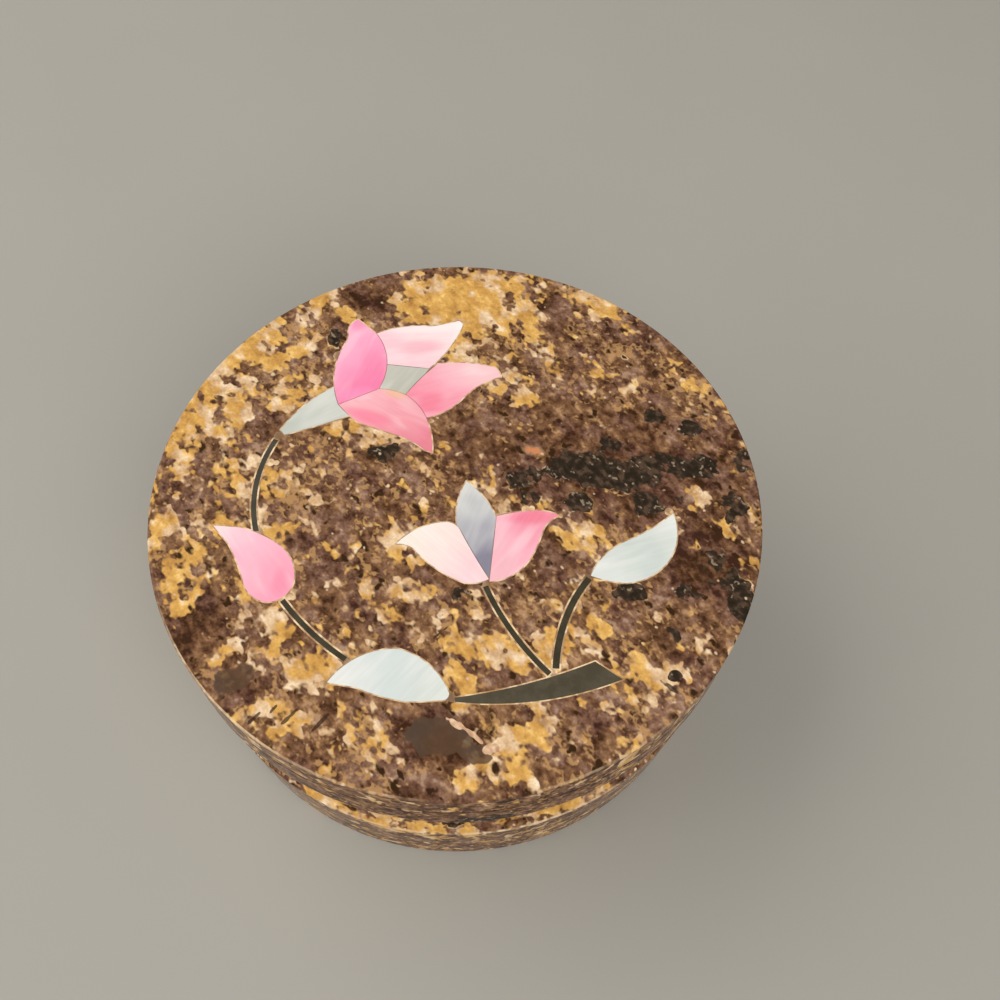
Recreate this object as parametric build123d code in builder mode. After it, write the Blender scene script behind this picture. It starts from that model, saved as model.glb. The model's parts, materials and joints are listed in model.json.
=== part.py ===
"""A round marble trinket box: a turned bowl, a loose lid, and a flower spray inlaid in the lid."""
from build123d import *
import os

# The turned box, in millimetres, standing on the table at z = 0
body_radius = 51.0
rim_height = 38.2
rim_width = 8.0
floor_thickness = 6.5
bowl_round = 8.0
arris = 0.3

# The outside of the box, from the table up
foot_inset = 1.7
foot_round = 0.6
ridge_height = 18.85
ridge_inset = 0.8
ridge_round = 0.35
band_height = 6.5
cove_depth = 3.0

# The lid and the spigot that centres it in the mouth
lid_thickness = 6.3
spigot_depth = 3.5
spigot_clearance = 0.4
spigot_arris = 0.6

# The inlay: its thickness, the bed under it and the lines of cement round it
inlay_thickness = 1.2
cement_bed = 0.25
petal_line = 0.15
stem_line = 0.22
joint_line = 0.12
stem_width = 0.99
side_stem_width = 1.17

# The spray is drawn for a lid of this radius, and grows with the lid
drawn_radius = 51.0
spray_scale = body_radius / drawn_radius

# Places that follow from the sizes above
mouth_radius = body_radius - rim_width
ridge_radius = body_radius - ridge_inset
foot_radius = body_radius - foot_inset
cove_radius = body_radius - cove_depth
band_foot = rim_height - band_height
cove_middle = (ridge_height + band_foot) / 2
lid_top = rim_height + lid_thickness
spigot_radius = mouth_radius - spigot_clearance
spigot_foot = rim_height - spigot_depth
pocket_depth = inlay_thickness + cement_bed

# Each outline runs anticlockwise: a corner's x and y, and how far the side that leaves it bulges out.
# The second list names the pieces that lie over the outline's edge and are cut out of it.
outlines = {
    "flower_petal_left": (
        [(-20.7, 36.6, 0.45), (-22.25, 33.7, -0.1), (-22.15, 31.6, 1.5), (-22.1, 17.1, 0),
         (-15.3, 20.9, 1.7), (-17.0, 33.4, 0)],
        [],
    ),
    "flower_petal_bottom": (
        [(-22.1, 17.1, 0.1), (-18.4, 13.5, 0), (-10.8, 11.0, -0.25), (-6.2, 8.3, 0), (-4.8, 7.9, 0.4),
         (-6.5, 15.3, 0.4), (-10.3, 19.8, 0.3), (-15.3, 20.9, 0), (-18.5, 20.5, 0)],
        ["flower_petal_left"],
    ),
    "flower_petal_right": (
        [(-6.2, 15.1, 0.65), (0.0, 19.9, -0.62), (6.4, 24.7, 0.25), (5.0, 26.9, 0.55),
         (-5.2, 27.1, 0.25), (-10.4, 20.0, 0), (-9.5, 17.0, 0)],
        ["flower_petal_bottom"],
    ),
    "flower_petal_top": (
        [(-14.6, 26.4, 0), (-6.7, 25.85, 0.62), (-1.2, 36.0, 0.25), (-2.0, 37.3, -0.1),
         (-7.0, 35.7, 0.75), (-17.0, 33.4, 0), (-18.0, 30.0, 0)],
        ["flower_petal_left", "flower_petal_right"],
    ),
    "flower_heart": (
        [(-14.6, 26.4, 0), (-15.3, 20.0, 0), (-10.0, 19.0, 0), (-6.7, 25.85, 0)],
        ["flower_petal_left", "flower_petal_bottom", "flower_petal_right"],
    ),
    "flower_calyx": (
        [(-31.5, 11.2, 0), (-30.6, 10.15, 0.1), (-20.0, 14.7, 0), (-20.0, 20.0, 0), (-23.4, 20.9, 0.8)],
        ["flower_petal_left", "flower_petal_bottom"],
    ),
    "bud": (
        [(-39.7, -8.05, 0), (-36.5, -11.4, -0.15), (-33.2, -17.6, 0.85), (-28.9, -21.35, 1.25),
         (-25.0, -17.0, 0.68), (-27.9, -11.4, 0.42), (-35.1, -8.2, 0)],
        [],
    ),
    "lower_leaf": (
        [(-17.8, -34.0, 0), (-13.2, -34.6, 0.25), (-5.6, -36.45, 0.05), (0.2, -35.95, 0.2),
         (0.85, -34.8, 1.28), (-7.4, -28.05, 1.62)],
        [],
    ),
    "branch": (
        [(1.6, -35.4, 0), (1.7, -36.15, 1.6), (27.1, -31.4, 0), (22.8, -28.65, -0.72)],
        [],
    ),
    "tulip_petal_left": (
        [(-9.5, -10.0, -0.25), (-6.65, -10.65, 0.68), (2.0, -16.45, 0.33), (6.0, -15.6, -0.1),
         (1.0, -7.2, 0.45), (-1.5, -5.45, 0.98)],
        [],
    ),
    "tulip_petal_middle": (
        [(1.3, 2.6, 0.52), (0.0, -5.0, 0), (0.5, -8.0, 0), (6.0, -15.6, 0), (6.65, -4.2, 0.6)],
        ["tulip_petal_left"],
    ),
    "tulip_petal_right": (
        [(6.0, -16.1, 1.05), (12.7, -11.2, 0.1), (14.3, -6.9, -0.58), (17.2, -3.4, 0.3),
         (13.3, -2.55, 0.22), (6.65, -3.95, 0), (5.5, -10.0, 0)],
        ["tulip_petal_left", "tulip_petal_middle"],
    ),
    "side_leaf": (
        [(22.15, -14.2, 0.25), (28.0, -15.25, 2.6), (36.6, -5.0, 0.15), (36.1, -1.9, -0.4),
         (28.0, -7.6, 0.8)],
        [],
    ),
}

# Each stem is one arc through three points of its middle line
stems = {
    "stem_flower_to_bud": ([(-31.85, 9.2), (-33.85, -0.6), (-32.4, -8.9)], stem_width, ["bud"]),
    "stem_bud_to_leaf": ([(-26.4, -20.8), (-21.1, -26.05), (-15.3, -30.2)], stem_width, ["bud", "lower_leaf"]),
    "tulip_stem": ([(5.4, -16.8), (9.98, -24.53), (15.9, -31.1)], stem_width, ["branch"]),
    "side_leaf_stem": ([(22.0, -14.6), (18.29, -21.73), (16.8, -30.2)], side_stem_width, ["side_leaf"]),
}

# Where the stone chipped or a stem stops short, a round patch of cement: its x, y and radius
cement_patches = [
    (-31.6, 10.0, 0.75),
    (-32.15, 4.5, 0.75),
    (-31.1, 4.5, 0.5),
    (-23.3, 27.9, 1.0),
    (-5.5, 14.5, 0.5),
    (-31.9, -8.8, 0.6),
    (-25.4, -20.1, 0.65),
    (-15.3, -30.5, 0.6),
    (-18.2, -34.2, 0.6),
    (-19.1, -34.4, 0.5),
    (1.2, -35.5, 0.65),
    (5.6, -16.6, 0.7),
    (16.3, -30.7, 0.75),
    (22.1, -14.5, 0.6),
    (17.3, -3.4, 0.45),
    (11.5, -2.4, 0.7),
    (12.5, -2.2, 0.5),
    (35.4, -1.7, 0.75),
    (36.8, -3.0, 0.5),
]


def placed(x, y):
    """A point of the drawing at its place on the lid."""
    return (x * spray_scale, y * spray_scale)


def draw_sides(corners):
    """The sides of one outline: straight where the bulge is nought, and arcs where it isn't."""
    for corner, following in zip(corners, corners[1:] + corners[:1]):
        x, y, bulge = corner
        start = placed(x, y)
        end = placed(following[0], following[1])
        if bulge == 0:
            Line(start, end)
        else:
            SagittaArc(start, end, -bulge * spray_scale)


# The shapes of the inlays as they are drawn, where neighbours meet along one line
shapes = {}
for name, (corners, covers) in outlines.items():
    with BuildSketch() as shape:
        with BuildLine():
            draw_sides(corners)
        make_face()
        for cover in covers:
            add(shapes[cover], mode=Mode.SUBTRACT)
    shapes[name] = shape.sketch

for name, (points, width, covers) in stems.items():
    with BuildSketch() as shape:
        with BuildLine():
            ThreePointArc(*[placed(x, y) for x, y in points])
        trace(line_width=width)
        for cover in covers:
            add(shapes[cover], mode=Mode.SUBTRACT)
    shapes[name] = shape.sketch

# What is cut from the lid round each shape, and round the patches of cement
seats = []
for name, drawn in shapes.items():
    with BuildSketch() as seat:
        add(drawn)
        offset(amount=stem_line if name in stems else petal_line)
    seats.append(seat.sketch)

for x, y, radius in cement_patches:
    with BuildSketch() as patch:
        with Locations(placed(x, y)):
            Circle(radius * spray_scale)
    seats.append(patch.sketch)

# What is left of each shape for the piece itself, with half of the joint off every side
inlays = {}
for name, drawn in shapes.items():
    with BuildSketch() as inlay_face:
        add(drawn)
        offset(amount=-joint_line / 2)
    inlays[name] = inlay_face.sketch

top_plane = Plane.XY.offset(lid_top)
os.makedirs("parts", exist_ok=True)

# The box, turned in one piece
with BuildPart() as box_base:
    with BuildSketch(Plane.XZ) as profile:
        with BuildLine():
            Polyline((mouth_radius - bowl_round, floor_thickness), (0, floor_thickness), (0, 0), (foot_radius, 0),
                     (ridge_radius, ridge_height))
            ThreePointArc((ridge_radius, ridge_height), (cove_radius, cove_middle), (body_radius, band_foot))
            Polyline((body_radius, band_foot), (body_radius, rim_height), (mouth_radius, rim_height),
                     (mouth_radius, floor_thickness + bowl_round))
            RadiusArc((mouth_radius, floor_thickness + bowl_round), (mouth_radius - bowl_round, floor_thickness),
                      bowl_round)
        make_face()
        fillet(profile.vertices().sort_by_distance((foot_radius, 0))[0], foot_round)
        fillet(profile.vertices().sort_by_distance((ridge_radius, ridge_height))[0], ridge_round)
        for edge_point in [(body_radius, band_foot), (body_radius, rim_height), (mouth_radius, rim_height)]:
            chamfer(profile.vertices().sort_by_distance(edge_point)[0], arris)
    revolve(axis=Axis.Z)
box_base.part.label = "box_base"
export_step(box_base.part, "parts/box_base.step")

# The lid: a disc that rests on the rim, its spigot, and the pocket for the inlay
with BuildPart() as lid:
    with BuildSketch(Plane.XZ) as profile:
        with BuildLine():
            Polyline((0, spigot_foot), (spigot_radius, spigot_foot), (spigot_radius, rim_height),
                     (body_radius, rim_height), (body_radius, lid_top), (0, lid_top), (0, spigot_foot))
        make_face()
        chamfer(profile.vertices().sort_by_distance((spigot_radius, spigot_foot))[0], spigot_arris)
        for edge_point in [(body_radius, rim_height), (body_radius, lid_top)]:
            chamfer(profile.vertices().sort_by_distance(edge_point)[0], arris)
    revolve(axis=Axis.Z)
    with BuildSketch(top_plane):
        for seat_shape in seats:
            add(seat_shape)
    extrude(amount=-pocket_depth, mode=Mode.SUBTRACT)
lid.part.label = "lid"
export_step(lid.part, "parts/lid.step")

# The cement fills the pocket under, round and between the pieces of the spray
with BuildPart() as inlay_cement:
    with BuildSketch(top_plane):
        for seat_shape in seats:
            add(seat_shape)
    extrude(amount=-pocket_depth)
    with BuildSketch(top_plane):
        for inlay_shape in inlays.values():
            add(inlay_shape)
    extrude(amount=-inlay_thickness, mode=Mode.SUBTRACT)
inlay_cement.part.label = "inlay_cement"
export_step(inlay_cement.part, "parts/inlay_cement.step")

# The pieces of the spray, flush with the lid's top
for name, inlay_shape in inlays.items():
    with BuildPart() as inlay:
        with BuildSketch(top_plane):
            add(inlay_shape)
        extrude(amount=-inlay_thickness)
    inlay.part.label = name
    export_step(inlay.part, f"parts/{name}.step")
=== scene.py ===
"""The looks of a round marble trinket box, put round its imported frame."""
import json
import math
import bpy
from mathutils import Matrix, Vector


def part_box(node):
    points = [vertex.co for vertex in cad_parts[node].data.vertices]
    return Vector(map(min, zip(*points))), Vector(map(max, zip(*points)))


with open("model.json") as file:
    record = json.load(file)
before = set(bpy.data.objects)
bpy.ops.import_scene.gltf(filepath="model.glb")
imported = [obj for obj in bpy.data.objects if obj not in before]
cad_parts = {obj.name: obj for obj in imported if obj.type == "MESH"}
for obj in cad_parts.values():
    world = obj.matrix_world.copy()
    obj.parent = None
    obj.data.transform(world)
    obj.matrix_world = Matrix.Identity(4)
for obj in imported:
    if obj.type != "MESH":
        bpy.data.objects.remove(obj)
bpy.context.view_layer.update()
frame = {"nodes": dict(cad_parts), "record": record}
scene = bpy.context.scene

# The box's sizes in millimetres, read from the frame
MM = 0.001
LID_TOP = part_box("lid")[1].z / MM
base_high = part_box("box_base")[1]
RIM = base_high.z / MM
RADIUS = base_high.x / MM

# The height and the radius of the sharp ridge round the base
RIDGE = 18.85
RIDGE_RADIUS = 50.2

# The shares of a blot's half sizes within which it is full, and past which it is gone
BLOT_CORE = 0.35
BLOT_EDGE = 1.25
# How far a blot reaches into the stone, down from the lid's top and in from the turned side
LID_BLOT_DEPTH = 40.0
SIDE_BLOT_DEPTH = 8.0

# A mix node's sockets for colours, by number, because its sockets for plain values have the same names
MIX_SHARE = 0
MIX_UNDER = 6
MIX_OVER = 7
MIX_RESULT = 2


def srgb(red, green, blue):
    """A colour given in 0 to 255, as the linear colour that a shader takes."""
    def linear(value):
        share = value / 255
        return share / 12.92 if share <= 0.04045 else ((share + 0.055) / 1.055) ** 2.4
    return (linear(red), linear(green), linear(blue), 1.0)


class Shades:
    """The nodes of one material, added by short calls that hand back their output."""

    def __init__(self, name):
        self.material = bpy.data.materials.new(name)
        self.material.use_nodes = True
        self.tree = self.material.node_tree
        self.tree.nodes.clear()
        self.shader = self.add("ShaderNodeBsdfPrincipled")
        output = self.add("ShaderNodeOutputMaterial")
        self.tree.links.new(self.shader.outputs["BSDF"], output.inputs["Surface"])

    def add(self, kind, **settings):
        """Adds a node of this kind with these settings."""
        node = self.tree.nodes.new(kind)
        for key, value in settings.items():
            setattr(node, key, value)
        return node

    def give(self, socket, value):
        """Links an output to a socket, or sets the socket to a plain value."""
        if isinstance(value, bpy.types.NodeSocket):
            self.tree.links.new(value, socket)
        else:
            socket.default_value = value

    def surface(self, **inputs):
        """Sets or links the shader's own sockets, with underscores for the spaces in their names."""
        for key, value in inputs.items():
            self.give(self.shader.inputs[key.replace("_", " ")], value)

    def places(self):
        """Every point's place in the box's own frame, in millimetres."""
        source = self.add("ShaderNodeTexCoord").outputs["Object"]
        return self.vector("SCALE", source, scale=1 / MM)

    def vector(self, operation, a, b=None, scale=None):
        """A sum on places, whose result is a number for a length, a distance or a dot product."""
        node = self.add("ShaderNodeVectorMath", operation=operation)
        self.give(node.inputs[0], a)
        if b is not None:
            self.give(node.inputs[1], b)
        if scale is not None:
            self.give(node.inputs["Scale"], scale)
        return node.outputs["Value" if operation in ("LENGTH", "DISTANCE", "DOT_PRODUCT") else "Vector"]

    def math(self, operation, a, b=0.0, c=0.0):
        """A sum on numbers."""
        node = self.add("ShaderNodeMath", operation=operation)
        for socket, value in zip(node.inputs, (a, b, c)):
            self.give(socket, value)
        return node.outputs["Value"]

    def blend(self, *shares):
        """The weighted sum of several outputs, each given as a pair of an output and its weight."""
        total = 0.0
        for output, weight in shares:
            total = self.math("MULTIPLY_ADD", output, weight, total)
        return total

    def split(self, value):
        """The three parts of a colour or a place, each an output of its own."""
        node = self.add("ShaderNodeSeparateXYZ")
        self.give(node.inputs["Vector"], value)
        return node.outputs["X"], node.outputs["Y"], node.outputs["Z"]

    def laid(self, where, centre, radii, turn):
        """Places measured from a centre along turned axes, each in shares of its own radius."""
        node = self.add("ShaderNodeMapping", vector_type="TEXTURE")
        self.give(node.inputs["Vector"], where)
        node.inputs["Location"].default_value = centre
        node.inputs["Rotation"].default_value = (0, 0, math.radians(turn))
        node.inputs["Scale"].default_value = radii
        return node.outputs["Vector"]

    def steps(self, value, low, high, to_low=0.0, to_high=1.0, smooth=True):
        """A value between two limits, moved to lie between two others."""
        node = self.add("ShaderNodeMapRange", interpolation_type="SMOOTHSTEP" if smooth else "LINEAR")
        self.give(node.inputs["Value"], value)
        limits = {"From Min": low, "From Max": high, "To Min": to_low, "To Max": to_high}
        for socket, number in limits.items():
            node.inputs[socket].default_value = number
        return node.outputs["Result"]

    def noise(self, where, size, detail=2.0, rough=0.5, bend=0.0, colour=False):
        """Cloudy noise whose largest lumps are about this many millimetres across."""
        node = self.add("ShaderNodeTexNoise")
        self.give(node.inputs["Vector"], where)
        node.inputs["Scale"].default_value = 1 / size
        node.inputs["Detail"].default_value = detail
        node.inputs["Roughness"].default_value = rough
        node.inputs["Distortion"].default_value = bend
        return node.outputs["Color" if colour else "Fac"]

    def cells(self, where, size, output):
        """Scattered cells about this many millimetres apart: the distance to the nearest, or its colour."""
        node = self.add("ShaderNodeTexVoronoi", feature="F1")
        self.give(node.inputs["Vector"], where)
        node.inputs["Scale"].default_value = 1 / size
        return node.outputs[output]

    def mix(self, share, under, over):
        """One colour laid over another, as strongly as the share says."""
        node = self.add("ShaderNodeMix", data_type="RGBA")
        self.give(node.inputs[MIX_SHARE], share)
        self.give(node.inputs[MIX_UNDER], under)
        self.give(node.inputs[MIX_OVER], over)
        return node.outputs[MIX_RESULT]

    def ramp(self, value, colours):
        """A run of colours, each given as a place from 0 to 1 and a colour in 0 to 255."""
        node = self.add("ShaderNodeValToRGB")
        self.give(node.inputs["Fac"], value)
        elements = node.color_ramp.elements
        while len(elements) < len(colours):
            elements.new(1.0)
        for element, (place, colour) in zip(elements, colours):
            element.position = place
            element.color = srgb(*colour)
        return node.outputs["Color"]

    def patches(self, where, blots):
        """The strongest of some soft blots at each place, full in its middle and nought past its edge."""
        total = 0.0
        for x, y, half_long, half_wide, turn, strength, *upright in blots:
            height, half_high = upright or (LID_TOP, LID_BLOT_DEPTH)
            way = math.radians(turn)
            axes = (Vector((math.cos(way), math.sin(way), 0)) / half_long,
                    Vector((-math.sin(way), math.cos(way), 0)) / half_wide,
                    Vector((0, 0, 1)) / half_high)
            parts = [self.vector("DOT_PRODUCT", where, axis) for axis in axes]
            seen = self.add("ShaderNodeCombineXYZ")
            for socket, part in zip(seen.inputs, parts):
                self.give(socket, part)
            centre = [axis.dot(Vector((x, y, height))) for axis in axes]
            away = self.vector("DISTANCE", seen.outputs["Vector"], centre)
            total = self.math("MAXIMUM", self.steps(away, BLOT_CORE, BLOT_EDGE, strength, 0.0), total)
        return total

    def bump(self, height, relief):
        """Raises the surface in the shading by up to this many metres."""
        node = self.add("ShaderNodeBump")
        node.inputs["Distance"].default_value = relief
        self.give(node.inputs["Height"], height)
        self.give(self.shader.inputs["Normal"], node.outputs["Normal"])


def on_side(angle, height, half_along, half_high, strength):
    """A blot on the turned side, given by its angle round the box and its height."""
    way = math.radians(angle)
    x = RADIUS * math.cos(way)
    y = RADIUS * math.sin(way)
    return (x, y, SIDE_BLOT_DEPTH, half_along, angle, strength, height, half_high)


# The marble's colours, each run from its darkest grains to its lightest
BROWNS = [(0.0, (60, 38, 22)), (0.3, (92, 63, 40)), (0.55, (119, 84, 54)), (0.8, (143, 105, 70)),
          (1.0, (174, 134, 92))]
PLUMS = [(0.0, (62, 38, 29)), (0.3, (93, 63, 49)), (0.55, (116, 84, 67)), (0.8, (139, 106, 86)),
         (1.0, (164, 133, 111))]
GOLDS = [(0.0, (162, 118, 62)), (0.35, (196, 147, 78)), (0.65, (216, 168, 92)), (1.0, (242, 200, 128))]
CREAMS = [(0.0, (168, 132, 96)), (0.35, (204, 168, 128)), (0.65, (226, 194, 156)), (1.0, (246, 226, 196))]
BLACKS = [(0.0, (42, 35, 26)), (0.5, (56, 45, 36)), (1.0, (86, 68, 54))]
VEINS = [(0.3, (176, 130, 100)), (0.7, (230, 198, 162))]
DARK_SPOT = srgb(56, 37, 21)
TAN_SPOT = srgb(184, 142, 94)
RUST = srgb(204, 130, 86)
PALE_FLECK = srgb(164, 146, 122)
SMOOTH_BROWN = srgb(88, 66, 50)
SMOOTH_GREY = srgb(82, 67, 56)
CRACK = srgb(58, 42, 32)
SPECK = srgb(206, 176, 146)
JOINT_SHADE = srgb(46, 34, 24)
EDGE_HIGHLIGHT_COLOUR = srgb(222, 196, 160)

# How the marble's mottling is stretched and turned in degrees, and how far it is bent out of its place
MOTTLING_STRETCH = (1.15, 0.93, 1.0)
MOTTLING_TURN = -50
MOTTLING_BEND = 0.55
NOISE_MIDDLE = (0.5, 0.5, 0.5)
# The sizes of its lumps in millimetres, from the broad clouds to the finest grain
CLOUD_SIZE = 6.0
PLUM_SIZE = 4.6
PALE_SIZE = 3.3
TONE_SIZE = 3.2
LUMP_SIZE = 2.9
SPECK_SPACING = 2.4
GOLD_TONE_SIZE = 2.2
SPOT_SIZE = 2.0
DAB_SIZE = 1.5
BEND_SIZE = 1.4
FINE_TONE_SIZE = 1.2
GRAIN_SIZE = 1.0
FLECK_SIZE = 0.9
FINE_SIZE = 0.4

# Painted shade lies in the joint under the lid: full and gone this far above and below it, and this deep
# inside
JOINT_SHADE_HEIGHTS = (0.15, 0.55)
JOINT_SHADE_DEPTHS = (1.2, 0.7)
JOINT_SHADE_STRENGTH = 0.65
# The same for the painted highlight, a pale line along an edge where light glints
EDGE_HIGHLIGHT_HEIGHTS = (0.15, 0.4)
EDGE_HIGHLIGHT_DEPTHS = (0.4, 0.28)

# The gloss of each stone, and the relief of its surface in metres
MARBLE_ROUGHNESS = (0.12, 0.22)
SHELL_ROUGHNESS = 0.16
DARK_STONE_ROUGHNESS = 0.22
CEMENT_ROUGHNESS = 0.5
MARBLE_IOR = 1.06
SHELL_IOR = 1.2
DULL_IOR = 1.3
POLISHED_RELIEF = 0.00001
RUBBED_RELIEF = 0.00002

# The lid's blots by kind, in millimetres from its middle: x, y, half length, half width, turn and strength.
# "bare" blots keep gold away, and "smooth" ones are dark brown patches with no mottling
LID_BLOTS = {
    "gold": [
        (-1.0, 41.0, 12.0, 9.0, -8, 1.25),
        (-12.5, 43.0, 3.0, 6.0, 0, 0.9),
        (-22.5, 37.5, 2.5, 2.5, 0, 0.8),
        (11.5, 40.0, 4.0, 5.0, 0, 0.8),
        (-31.5, 28.0, 8.0, 2.5, 47, 0.85),
        (22.5, 27.5, 3.0, 3.0, 0, 0.6),
        (-3.0, 31.0, 6.0, 6.0, 0, 0.8),
        (10.0, 43.0, 5.0, 6.0, 0, 0.7),
        (25.0, 43.0, 6.0, 4.0, -35, 0.9),
        (-28.5, 42.5, 3.0, 4.0, 0, 0.9),
        (8.0, 22.5, 6.0, 4.5, -20, 0.75),
        (-40.0, 29.0, 7.0, 9.0, -35, 0.9),
        (-47.0, 17.0, 5.0, 9.0, -10, 1.0),
        (-40.0, 17.0, 4.0, 7.0, 0, 0.75),
        (-31.0, 19.0, 4.0, 5.0, 0, 0.6),
        (-15.0, 12.5, 6.0, 3.8, -10, 1.0),
        (-20.0, 12.3, 5.0, 2.2, 0, 0.9),
        (-47.0, 4.0, 4.0, 5.0, 0, 0.6),
        (-38.0, 2.0, 4.0, 7.0, 0, 0.5),
        (-37.5, -7.5, 2.5, 3.0, 0, 0.75),
        (-42.5, -20.0, 3.0, 7.0, 0, 0.9),
        (-30.0, 1.5, 4.0, 4.0, 0, 0.5),
        (-48.0, -8.0, 3.0, 4.0, 0, 0.7),
        (-43.0, -13.0, 3.5, 5.0, 0, 0.8),
        (-28.0, -9.0, 3.5, 3.5, 0, 0.6),
        (-18.0, -9.5, 3.5, 3.0, 0, 0.35),
        (-14.0, -18.0, 4.0, 2.5, 0, 0.5),
        (-8.0, -10.0, 4.5, 6.0, 0, 0.7),
        (-9.0, -20.0, 4.0, 4.5, 0, 0.6),
        (-34.0, -18.0, 4.0, 3.0, 0, 0.5),
        (-27.0, -26.0, 6.0, 6.0, 0, 0.5),
        (-20.0, -32.0, 6.0, 3.8, 0, 1.0),
        (-24.0, -40.0, 7.0, 4.0, 0, 0.6),
        (-12.0, -43.0, 5.0, 4.0, 0, 0.4),
        (8.0, -28.0, 8.0, 4.0, 0, 0.8),
        (16.0, -26.5, 4.0, 4.0, 0, 0.9),
        (1.5, -33.0, 4.0, 4.5, 0, 0.8),
        (21.0, -23.0, 4.0, 4.0, 0, 0.4),
        (29.5, -31.0, 6.0, 3.0, 10, 0.8),
        (19.5, -6.5, 4.5, 4.0, 0, 0.75),
        (40.2, 1.0, 2.2, 3.6, 25, 1.0),
        (14.5, -38.0, 4.5, 3.0, 0, 0.6),
        (11.0, -43.0, 4.5, 5.0, 0, 0.75),
        (5.0, -47.0, 4.0, 3.0, 0, 0.8),
        (27.0, -42.0, 3.0, 3.0, 0, 0.6),
    ],
    "bare": [
        (-22.5, 7.5, 3.0, 3.0, 0, 1.0),
        (-2.5, 4.0, 3.0, 4.0, 0, 0.8),
        (-17.5, -6.0, 4.0, 2.0, 0, 0.7),
        (-22.5, -22.5, 2.5, 2.5, 0, 0.9),
        (-22.0, -37.5, 3.0, 2.0, 0, 0.9),
        (-10.0, -47.0, 5.0, 2.5, 0, 1.0),
        (2.0, -46.5, 3.0, 2.5, 0, 1.0),
        (16.0, -45.0, 5.0, 3.0, 0, 0.9),
        (30.0, 30.0, 11.0, 5.0, -40, 1.0),
        (-20.0, 41.0, 4.0, 4.0, 0, 1.0),
        (-25.0, 33.0, 3.0, 4.0, 0, 0.9),
        (16.5, 39.0, 3.0, 8.0, 0, 0.7),
        (27.0, 12.0, 22.0, 9.0, -10, 1.0),
        (3.0, 13.0, 8.0, 6.0, 0, 0.9),
        (-33.0, 12.0, 4.0, 3.0, 0, 1.0),
        (-40.0, -27.0, 7.0, 6.0, 50, 0.9),
        (-2.0, -40.0, 7.0, 6.0, 0, 1.0),
        (36.0, -15.0, 12.0, 8.0, -20, 0.8),
        (-15.0, 1.0, 5.0, 4.0, 0, 0.6),
        (18.0, -33.0, 5.0, 3.5, 0, 0.7),
        (22.0, -41.0, 5.0, 4.0, 0, 0.8),
        (14.0, -13.0, 5.0, 4.0, 0, 0.8),
    ],
    "black": [
        (23.0, 6.0, 9.0, 4.6, -3, 1.05),
        (19.1, 6.0, 5.0, 4.0, 0, 1.1),
        (29.5, 5.4, 7.0, 4.5, 0, 1.0),
        (36.0, 7.5, 6.5, 3.6, 0, 1.0),
        (41.5, 7.4, 4.5, 3.4, 0, 0.98),
        (31.9, -0.5, 4.2, 3.6, 0, 1.02),
        (11.0, 4.0, 4.6, 3.2, 10, 0.88),
        (20.4, -0.6, 3.4, 2.4, 0, 1.0),
        (12.0, 0.0, 2.2, 2.2, 0, 0.8),
        (25.9, 11.5, 3.6, 2.6, 0, 0.92),
        (39.7, 15.4, 3.2, 2.4, 0, 0.92),
        (34.0, 17.5, 3.4, 2.4, 0, 0.8),
        (46.4, 0.2, 2.8, 4.6, 0, 0.98),
        (48.6, 9.0, 2.2, 3.4, 0, 0.9),
        (37.6, 0.5, 2.2, 1.8, 0, 0.8),
        (-13.0, 7.4, 4.6, 2.6, 10, 0.88),
        (-23.9, 32.4, 2.0, 2.8, 0, 0.85),
        (42.5, -12.5, 4.6, 6.0, 0, 0.72),
        (46.0, -17.5, 3.0, 5.0, 0, 0.8),
        (28.2, -16.9, 3.6, 2.0, 0, 0.9),
        (37.4, -16.4, 3.4, 2.2, 0, 0.82),
        (34.8, -23.8, 2.4, 2.0, 0, 0.7),
        (1.1, -18.2, 2.4, 1.8, 0, 0.75),
        (35.0, -30.5, 1.35, 1.1, 0, 1.0),
    ],
    "dark": [
        (-20.0, 41.0, 5.0, 3.6, -35, 0.8),
        (-0.5, -41.5, 7.0, 4.0, 0, 1.0),
        (-40.0, -26.0, 7.0, 5.0, 50, 0.7),
        (27.0, 5.0, 20.0, 9.0, 0, 0.5),
        (41.0, -10.0, 8.0, 10.0, 20, 0.75),
        (4.0, 9.0, 8.0, 5.0, 0, 0.25),
    ],
    "rust": [
        (12.5, 9.2, 2.0, 1.1, -20, 1.0),
    ],
    # Painted highlights: pale glints along the lid's top edge, at its front
    "edge_highlight": [
        on_side(-133.0, LID_TOP, 20.0, 8.0, 0.75),
        on_side(-105.0, LID_TOP, 12.0, 8.0, 0.45),
        on_side(-60.0, LID_TOP, 12.0, 8.0, 0.35),
    ],
    "smooth": [
        (-0.3, -41.8, 6.2, 3.6, -10, 1.0),
        (4.8, -43.6, 3.6, 2.0, 0, 0.9),
        (-32.0, -34.5, 4.2, 3.0, 30, 0.9),
    ],
    "cracks": [
        (-17.8, -40.0, 2.6, 0.38, 52, 1.0),
        (-22.7, -39.6, 2.2, 0.36, 50, 0.9),
        (-25.2, -38.6, 1.2, 0.3, 55, 0.8),
        (-27.8, -40.0, 1.7, 0.34, 50, 0.9),
        (34.2, -32.4, 2.0, 0.5, -38, 0.9),
        (-1.7, -25.6, 2.6, 0.2, 44, 0.75),
    ],
    "vein": [
        (1.9, -39.3, 1.6, 0.7, -30, 1.0),
        (4.6, -40.9, 2.6, 0.5, -38, 1.0),
        (7.4, -42.9, 1.3, 1.1, 0, 1.0),
    ],
}

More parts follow.
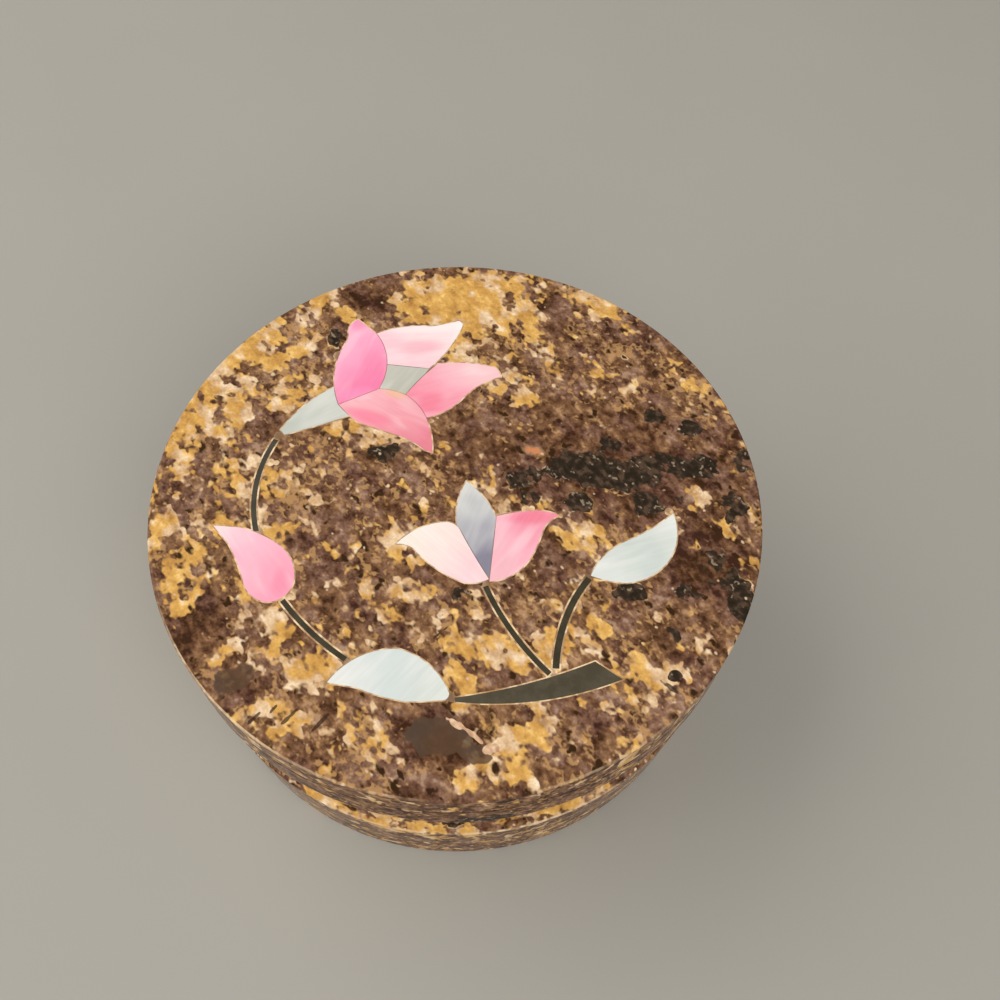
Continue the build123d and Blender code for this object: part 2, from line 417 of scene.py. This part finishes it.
# The base's blots by kind, all round its turned side
BASE_BLOTS = {
    # Painted highlights: pale glints along the ridge, at its front
    "edge_highlight": [
        on_side(-72.0, RIDGE, 20.0, 8.0, 1.0),
        on_side(-100.0, RIDGE, 12.0, 8.0, 0.5),
    ],
    "gold": [
        on_side(-112.0, 24.0, 15.0, 6.0, 1.0),
        on_side(-65.0, 23.0, 16.0, 5.0, 0.9),
        on_side(-95.0, 19.0, 12.0, 3.5, 0.8),
        on_side(-38.0, 22.0, 8.0, 5.0, 0.6),
        on_side(-150.0, 26.0, 12.0, 6.0, 0.5),
        on_side(30.0, 16.0, 18.0, 12.0, 0.8),
        on_side(100.0, 20.0, 20.0, 10.0, 0.7),
        on_side(170.0, 12.0, 16.0, 9.0, 0.8),
    ],
    "bare": [
        on_side(-90.0, 35.0, 60.0, 3.5, 0.8),
        on_side(60.0, 28.0, 16.0, 8.0, 0.9),
        on_side(140.0, 30.0, 14.0, 8.0, 0.9),
    ],
    "black": [
        on_side(-88.0, 21.5, 3.0, 2.5, 0.8),
        on_side(-82.0, 33.0, 8.0, 2.5, 0.8),
        on_side(-30.0, 30.0, 5.0, 5.0, 0.8),
        on_side(65.0, 20.0, 9.0, 5.0, 0.9),
        on_side(150.0, 24.0, 8.0, 5.0, 0.8),
    ],
}


class Marble(Shades):
    """Polished brown and gold marble, mottled right through, with its larger blots where they are named.

    Each kind of grain lies where a weighted sum of noises and blots passes between two limits. The weights
    and limits were chosen for the share of each colour that the photograph shows.
    """

    def __init__(self, name, blots, seed, highlight_radius, highlight_height):
        super().__init__(name)
        self.where = self.places()
        grained = self.laid(self.where, (seed, seed, 0), MOTTLING_STRETCH, MOTTLING_TURN)
        lobes = self.vector("SUBTRACT", self.noise(grained, BEND_SIZE, 1.0, colour=True), NOISE_MIDDLE)
        self.bent = self.vector("ADD", grained, self.vector("SCALE", lobes, scale=MOTTLING_BEND))
        self.cloud = self.noise(self.bent, CLOUD_SIZE, 1.0)
        self.lump = self.noise(self.bent, LUMP_SIZE, 2.0, 0.55)
        self.dab = self.noise(self.bent, DAB_SIZE, 1.0, 0.6)
        self.grain = self.noise(self.bent, GRAIN_SIZE, 1.0)
        self.fine = self.noise(self.where, FINE_SIZE, 1.0)
        self.fields = {kind: self.patches(self.where, listed) for kind, listed in blots.items()}

        colour = self.brown_ground()
        colour = self.gold_over(colour)
        colour = self.black_over(colour)
        if "smooth" in self.fields:
            colour = self.flaws_over(colour)
        colour = self.specks_over(colour)
        colour = self.joint_shade_and_edge_highlight_over(colour, highlight_radius, highlight_height)
        roughness = self.steps(self.fine, 0.3, 0.7, *MARBLE_ROUGHNESS)
        self.surface(Base_Color=colour, Roughness=roughness, IOR=MARBLE_IOR)
        self.bump(self.fine, POLISHED_RELIEF)

    def field(self, kind):
        """The strength of one kind of blot at each place, or nought where the stone has none."""
        return self.fields.get(kind, 0.0)

    def brown_ground(self):
        """Brown and plum, with tan spots and dark ones."""
        tone = self.noise(self.bent, TONE_SIZE, 2.0, 0.55)
        fine_tone = self.noise(self.bent, FINE_TONE_SIZE, 1.0)
        level = self.blend((tone, 1.0), (fine_tone, 0.7), (self.fine, 0.3), (self.field("dark"), -0.22))
        level = self.steps(level, 0.73, 1.26, smooth=False)
        plum = self.steps(self.noise(self.bent, PLUM_SIZE, 2.0), 0.42, 0.58, 0.35, 1.0)
        ground = self.mix(plum, self.ramp(level, BROWNS), self.ramp(level, PLUMS))
        tan = self.blend((self.grain, 1.0), (self.cloud, 0.5), (self.field("bare"), -0.05),
                         (self.field("dark"), -0.3))
        tan = self.steps(tan, 0.78, 0.93)
        ground = self.mix(self.math("MULTIPLY", tan, 0.75), ground, TAN_SPOT)
        dark = self.blend((self.noise(self.bent, SPOT_SIZE, 2.0), 1.0), (self.field("black"), 0.05))
        return self.mix(self.steps(dark, 0.60, 0.70), ground, DARK_SPOT)

    def gold_over(self, colour):
        """Gold and cream grains, and the rust ones."""
        push = self.blend((self.cloud, 0.35), (self.lump, 1.2), (self.dab, 0.7), (self.field("gold"), 0.36),
                          (self.field("bare"), -0.20))
        share = self.steps(push, 1.205, 1.345)
        tone = self.noise(self.bent, GOLD_TONE_SIZE, 2.0)
        level = self.blend((tone, 1.0), (self.grain, 0.5), (self.fine, 0.3))
        level = self.steps(level, 0.56, 1.22, smooth=False)
        pale = self.blend((self.noise(self.bent, PALE_SIZE, 2.0), 1.0), (self.field("gold"), -0.06))
        gold = self.mix(self.steps(pale, 0.43, 0.58), self.ramp(level, GOLDS), self.ramp(level, CREAMS))
        rust = self.math("MULTIPLY", self.field("rust"), self.steps(self.grain, 0.38, 0.55, 0.35, 1.0))
        gold = self.mix(rust, gold, RUST)
        return self.mix(self.math("MAXIMUM", share, rust), colour, gold)

    def black_over(self, colour):
        """Black grains with small pale flecks in them."""
        push = self.blend((self.field("black"), 0.62), (self.lump, 0.9), (self.dab, 0.7), (self.cloud, 0.4),
                          (self.grain, 0.25), (self.fine, 0.1))
        share = self.steps(push, 1.53, 1.62)
        fleck = self.steps(self.noise(self.bent, FLECK_SIZE, 1.0), 0.65, 0.71)
        black = self.ramp(self.steps(self.grain, 0.3, 0.75), BLACKS)
        black = self.mix(self.math("MULTIPLY", fleck, 0.6), black, PALE_FLECK)
        return self.mix(share, colour, black)

    def flaws_over(self, colour):
        """Smooth brown patches, a thin pale vein and short dark cracks."""
        edge = self.math("ADD", self.field("smooth"), self.steps(self.lump, 0.25, 0.75, -0.35, 0.35))
        smooth = self.mix(self.steps(self.cloud, 0.35, 0.65), SMOOTH_BROWN, SMOOTH_GREY)
        colour = self.mix(self.math("MULTIPLY", self.steps(edge, 0.42, 0.58), 0.88), colour, smooth)
        vein = self.math("ADD", self.field("vein"), self.steps(self.dab, 0.25, 0.75, -0.4, 0.4))
        colour = self.mix(self.steps(vein, 0.45, 0.6), colour, self.ramp(self.grain, VEINS))
        crack = self.math("ADD", self.field("cracks"), self.steps(self.grain, 0.25, 0.75, -0.35, 0.35))
        return self.mix(self.steps(crack, 0.35, 0.6, 0.0, 0.85), colour, CRACK)

    def specks_over(self, colour):
        """Small pale specks, in some of the scattered cells."""
        speck = self.steps(self.cells(self.bent, SPECK_SPACING, "Distance"), 0.05, 0.14, 1.0, 0.0)
        chance = self.steps(self.split(self.cells(self.bent, SPECK_SPACING, "Color"))[0], 0.55, 0.6)
        return self.mix(self.math("MULTIPLY", speck, chance), colour, SPECK)

    def joint_shade_and_edge_highlight_over(self, colour, highlight_radius, highlight_height):
        """Painted shade in the joint between lid and box, and a painted highlight as a pale line along an
        edge.
        """
        height = self.split(self.where)[2]
        off_joint = self.math("ABSOLUTE", self.math("SUBTRACT", height, RIM))
        # Painted shade: the stone is darkened along the joint under the lid, where shade falls between lid
        # and box
        joint = self.steps(off_joint, *JOINT_SHADE_HEIGHTS, JOINT_SHADE_STRENGTH, 0.0)
        reach = self.vector("LENGTH", self.vector("MULTIPLY", self.where, (1.0, 1.0, 0.0)))
        outside = self.steps(reach, *(RADIUS - depth for depth in JOINT_SHADE_DEPTHS))
        colour = self.mix(self.math("MULTIPLY", joint, outside), colour, JOINT_SHADE)
        # Painted highlight: a pale line along the edge, where light glints on it
        off_edge = self.math("ABSOLUTE", self.math("SUBTRACT", height, highlight_height))
        line = self.steps(off_edge, *EDGE_HIGHLIGHT_HEIGHTS, 1.0, 0.0)
        outside = self.steps(reach, *(highlight_radius - depth for depth in EDGE_HIGHLIGHT_DEPTHS))
        line = self.math("MULTIPLY", line, outside)
        edge_highlight = self.math("MULTIPLY", self.field("edge_highlight"), self.steps(self.dab, 0.3, 0.6, 0.25, 1.0))
        return self.mix(self.math("MULTIPLY", line, edge_highlight), colour, EDGE_HIGHLIGHT_COLOUR)


SHELL_WHITE = srgb(248, 244, 240)
# The sizes of a shell's soft clouds, and of its broad bands and fine threads along and across the streaks
SHELL_CLOUD_SIZE = 5.0
BAND_SIZES = (9.0, 2.6, 1.0)
THREAD_SIZES = (6.0, 0.5, 1.0)

# Each shell piece: where its colour starts and ends on the lid, the colours between, how far its streaks
# are turned in degrees, and its stains, each a blot and a colour
SHELLS = {
    "flower_petal_left": {
        "start": (-23.0, 31.0), "end": (-16.0, 22.0), "streak_turn": 70,
        "colours": [(0.0, (248, 178, 204)), (0.5, (248, 158, 190)), (1.0, (242, 130, 170))],
        "stains": [
            ((-20.3, 36.0, 2.0, 2.6, -20, 0.8), (240, 146, 178)),
            ((-17.0, 26.0, 2.4, 4.5, 0, 0.5), (240, 128, 166)),
            ((-19.6, 19.4, 3.6, 1.6, 20, 0.5), (246, 154, 196)),
        ],
    },
    "flower_petal_top": {
        "start": (-4.0, 37.0), "end": (-10.0, 28.0), "streak_turn": 10,
        "colours": [(0.0, (248, 234, 232)), (0.5, (246, 216, 218)), (1.0, (244, 202, 210))],
        "stains": [
            ((-8.6, 30.6, 4.6, 1.8, 8, 0.75), (243, 178, 190)),
            ((-10.0, 34.8, 6.0, 0.9, 6, 0.7), (248, 234, 232)),
        ],
    },
    "flower_petal_right": {
        "start": (1.0, 26.5), "end": (-6.0, 17.5), "streak_turn": 20,
        "colours": [(0.0, (244, 196, 200)), (0.45, (244, 176, 188)), (1.0, (240, 142, 162))],
        "stains": [
            ((-6.0, 18.6, 2.8, 2.2, 30, 0.8), (240, 132, 154)),
            ((-1.0, 19.8, 4.6, 1.3, 35, 0.5), (238, 150, 168)),
        ],
    },
    "flower_petal_bottom": {
        "start": (-14.0, 20.0), "end": (-8.0, 10.0), "streak_turn": -30,
        "colours": [(0.0, (242, 176, 184)), (0.5, (238, 156, 168)), (1.0, (226, 132, 146))],
        "stains": [
            ((-16.5, 14.8, 5.0, 1.6, -16, 0.8), (244, 134, 158)),
            ((-12.2, 20.1, 2.4, 1.2, -12, 0.85), (236, 186, 154)),
            ((-17.6, 19.0, 1.6, 0.8, 10, 0.6), (246, 196, 204)),
        ],
    },
    "flower_heart": {
        "start": (-14.0, 26.0), "end": (-9.0, 19.0), "streak_turn": 60,
        "colours": [(0.0, (194, 192, 181)), (1.0, (184, 183, 170))],
    },
    "flower_calyx": {
        "start": (-30.0, 11.0), "end": (-21.0, 18.0), "streak_turn": 40,
        "colours": [(0.0, (190, 194, 184)), (1.0, (202, 203, 194))],
    },
    "bud": {
        "start": (-38.0, -9.0), "end": (-26.0, -19.0), "streak_turn": -50,
        "colours": [(0.0, (247, 214, 218)), (0.3, (246, 184, 200)), (1.0, (244, 158, 180))],
        "stains": [
            ((-27.2, -17.8, 1.4, 3.0, 0, 0.6), (242, 140, 166)),
        ],
    },
    "lower_leaf": {
        "start": (-17.0, -34.0), "end": (0.0, -35.0), "streak_turn": 50,
        "colours": [(0.0, (224, 226, 221)), (0.5, (206, 214, 211)), (1.0, (212, 217, 210))],
    },
    "tulip_petal_left": {
        "start": (-7.0, -8.0), "end": (3.0, -14.0), "streak_turn": -40,
        "colours": [(0.0, (243, 232, 220)), (0.5, (245, 222, 216)), (1.0, (245, 206, 210))],
    },
    "tulip_petal_middle": {
        "start": (1.3, 1.0), "end": (5.0, -13.0), "streak_turn": 70,
        "colours": [(0.0, (216, 216, 210)), (0.45, (180, 179, 184)), (1.0, (136, 132, 147))],
    },
    "tulip_petal_right": {
        "start": (7.0, -14.0), "end": (15.0, -3.5), "streak_turn": 60,
        "colours": [(0.0, (240, 184, 192)), (0.5, (244, 172, 188)), (1.0, (238, 136, 156))],
        "stains": [
            ((12.8, -4.0, 4.6, 1.4, 5, 0.8), (236, 128, 150)),
            ((11.0, -8.6, 3.6, 1.1, 55, 0.6), (246, 196, 206)),
        ],
    },
    "side_leaf": {
        "start": (24.0, -14.0), "end": (36.0, -3.0), "streak_turn": 20,
        "colours": [(0.0, (218, 222, 217)), (0.5, (200, 208, 202)), (1.0, (224, 226, 220))],
    },
}


def shell(name, start, end, streak_turn, colours, stains=()):
    """Polished shell, whose colour runs from one point to another, with silky streaks."""
    m = Shades(name)
    where = m.places()
    run = Vector(end) - Vector(start)
    turn = math.degrees(math.atan2(run.y, run.x))
    share = m.split(m.laid(where, (*start, LID_TOP), (run.length, run.length, 1.0), turn))[0]
    cloud = m.noise(where, SHELL_CLOUD_SIZE, 1.5)
    colour = m.ramp(m.blend((share, 1.0), (cloud, 0.6), (1.0, -0.3)), colours)
    bands = m.noise(m.laid(where, (0, 0, 0), BAND_SIZES, streak_turn), 1.0, 1.0, 0.5, 0.4)
    colour = m.mix(m.steps(bands, 0.45, 0.75, 0.0, 0.2), colour, SHELL_WHITE)
    for blot, stain in stains:
        colour = m.mix(m.patches(where, [blot]), colour, srgb(*stain))
    threads = m.noise(m.laid(where, (0, 0, 0), THREAD_SIZES, streak_turn), 1.0, 1.0)
    colour = m.vector("SCALE", colour, scale=m.steps(threads, 0.3, 0.7, 0.97, 1.02))
    m.surface(Base_Color=colour, Roughness=SHELL_ROUGHNESS, IOR=SHELL_IOR)
    m.bump(bands, POLISHED_RELIEF)
    return m.material


# The cement's colours, and its stains as blots like the lid's: rose and grey in the hairlines between the
# shells, and brown where a stem meets its neighbour
CEMENT = srgb(238, 210, 170)
DARK_CEMENT = srgb(186, 144, 98)
THIN_CEMENT = srgb(140, 104, 72)
ROSE_STAIN = srgb(176, 92, 108)
GREY_STAIN = srgb(112, 96, 92)
JOINT_STAIN = srgb(110, 78, 52)
ROSE_SEAMS = [
    (-18.7, 19.0, 4.6, 1.1, 29, 1.0),
    (-15.0, 25.5, 1.2, 6.4, 0, 1.0),
    (-15.7, 31.0, 1.0, 2.6, 20, 1.0),
    (-8.2, 17.5, 3.8, 0.9, -50, 1.0),
    (6.4, -8.5, 0.45, 5.5, -3, 0.5),
]
GREY_SEAMS = [
    (-10.6, 26.1, 4.4, 0.8, -4, 1.0),
    (-8.0, 23.2, 4.2, 0.8, 54, 1.0),
    (-22.0, 17.8, 3.4, 0.8, -62, 0.8),
    (3.1, -11.0, 6.2, 0.7, -59, 1.0),
    (6.2, -10.2, 0.45, 6.2, -3, 0.8),
]
STEM_JOINTS = [
    (-31.6, 10.0, 1.3, 1.3, 0, 0.9),
    (-23.3, 27.9, 1.4, 1.4, 0, 0.6),
    (-31.9, -8.8, 1.2, 1.2, 0, 0.6),
    (-15.3, -30.5, 1.2, 1.2, 0, 0.7),
    (1.2, -35.5, 1.3, 1.3, 0, 0.8),
    (5.6, -16.6, 1.4, 1.4, 0, 0.7),
    (22.0, -14.6, 1.8, 1.8, 0, 0.8),
]
CEMENT_CLOUD_SIZE = 1.8
THIN_CEMENT_SIZE = 1.7


def cement(name):
    """Cream cement, rubbed flush, that is thin in places and stained between the pieces."""
    m = Shades(name)
    where = m.places()
    cloud = m.noise(where, CEMENT_CLOUD_SIZE, 4.0, 0.6)
    colour = m.mix(m.steps(cloud, 0.35, 0.65), DARK_CEMENT, CEMENT)
    thin = m.steps(m.noise(where, THIN_CEMENT_SIZE, 2.0), 0.46, 0.62, 0.0, 0.7)
    colour = m.mix(thin, colour, THIN_CEMENT)
    for blots, stain in ((ROSE_SEAMS, ROSE_STAIN), (GREY_SEAMS, GREY_STAIN), (STEM_JOINTS, JOINT_STAIN)):
        colour = m.mix(m.patches(where, blots), colour, stain)
    m.surface(Base_Color=colour, Roughness=CEMENT_ROUGHNESS, IOR=DULL_IOR)
    m.bump(cloud, RUBBED_RELIEF)
    return m.material


def dark_stone(name, colour, dark, size):
    """Polished dark stone with a soft variation of its own."""
    m = Shades(name)
    cloud = m.noise(m.places(), size, 4.0, 0.6)
    colour = m.mix(m.steps(cloud, 0.35, 0.65), dark, colour)
    m.surface(Base_Color=colour, Roughness=DARK_STONE_ROUGHNESS, IOR=DULL_IOR)
    m.bump(cloud, RUBBED_RELIEF)
    return m.material


# How far in millimetres each stone's mottling is moved, so that lid and base differ
BASE_SEED = 37.0
LID_SEED = 0.0
slots = {part["node"]: part["material_slot"] for part in frame["record"]["subparts"]}
# The looks by material slot, and the branch's own, which is cut from a paler piece of dark stone
looks = {
    "marble_base": Marble("marble_base", BASE_BLOTS, BASE_SEED, RIDGE_RADIUS, RIDGE).material,
    "marble_lid": Marble("marble_lid", LID_BLOTS, LID_SEED, RADIUS, LID_TOP).material,
    "cement": cement("cement"),
    "black_stone": dark_stone("black_stone", srgb(68, 62, 47), srgb(56, 51, 38), 2.5),
    "branch": dark_stone("branch_stone", srgb(84, 77, 62), srgb(72, 66, 52), 3.0),
}
for node, piece in frame["nodes"].items():
    if node in SHELLS:
        look = shell(node + "_shell", **SHELLS[node])
    else:
        look = looks.get(node, looks[slots[node]])
    piece.data.materials.clear()
    piece.data.materials.append(look)

# The floor, a square whose half side is given in metres
FLOOR_REACH = 3.0
FLOOR_CLOUD_SIZE = 60.0
FLOOR_ROUGHNESS = 0.85
corners = [(x * FLOOR_REACH, y * FLOOR_REACH, 0) for x, y in ((-1, -1), (1, -1), (1, 1), (-1, 1))]
floor_mesh = bpy.data.meshes.new("floor")
floor_mesh.from_pydata(corners, [], [(0, 1, 2, 3)])
floor = bpy.data.objects.new("floor", floor_mesh)
scene.collection.objects.link(floor)
paper = Shades("floor_paper")
paper_cloud = paper.noise(paper.places(), FLOOR_CLOUD_SIZE, 3.0)
paper_colour = paper.mix(paper_cloud, srgb(158, 155, 147), srgb(163, 160, 152))
paper.surface(Base_Color=paper_colour, Roughness=FLOOR_ROUGHNESS)
floor.data.materials.append(paper.material)


def soft_light(name, place, target, size, power, colour):
    """A square area light that faces a point, with its place and size in metres and its power in watts."""
    data = bpy.data.lights.new(name, "AREA")
    data.shape = "SQUARE"
    data.size = size
    data.energy = power
    data.color = colour
    light = bpy.data.objects.new(name, data)
    light.location = place
    light.rotation_mode = "QUATERNION"
    light.rotation_quaternion = (Vector(target) - Vector(place)).to_track_quat("-Z", "Y")
    scene.collection.objects.link(light)


middle = (0, 0, LID_TOP * MM / 2)
soft_light("key", (-0.95, 0.35, 0.75), middle, 1.5, 13.0, (1.0, 0.98, 0.95))
soft_light("window", (-1.15, -0.45, 0.42), middle, 0.5, 3.0, (1.0, 0.99, 0.97))
soft_light("fill", (0.35, -0.8, 1.0), middle, 1.1, 13.6, (1.0, 0.98, 0.95))

# The soft light of the room
ROOM_COLOUR = (0.95, 0.94, 0.92, 1)
ROOM_STRENGTH = 0.27
world = bpy.data.worlds.new("studio")
scene.world = world
world.use_nodes = True
background = world.node_tree.nodes["Background"]
background.inputs["Color"].default_value = ROOM_COLOUR
background.inputs["Strength"].default_value = ROOM_STRENGTH

# The camera at the photograph's angle: its place in metres, its elevation and roll in degrees
CAMERA_PLACE = (0.00713, -0.08471, 0.18921)
CAMERA_ELEVATION = 59.919
CAMERA_ROLL = 2.543
LENS = 36.0
SENSOR = 36.0
NEAREST = 0.01
camera_data = bpy.data.cameras.new("camera")
camera_data.lens = LENS
camera_data.sensor_width = SENSOR
camera_data.clip_start = NEAREST
camera = bpy.data.objects.new("camera", camera_data)
tilt = Matrix.Rotation(math.radians(90 - CAMERA_ELEVATION), 4, "X")
roll = Matrix.Rotation(math.radians(CAMERA_ROLL), 4, "Z")
camera.matrix_world = Matrix.Translation(CAMERA_PLACE) @ tilt @ roll
scene.collection.objects.link(camera)
scene.camera = camera
scene.view_settings.view_transform = "Standard"
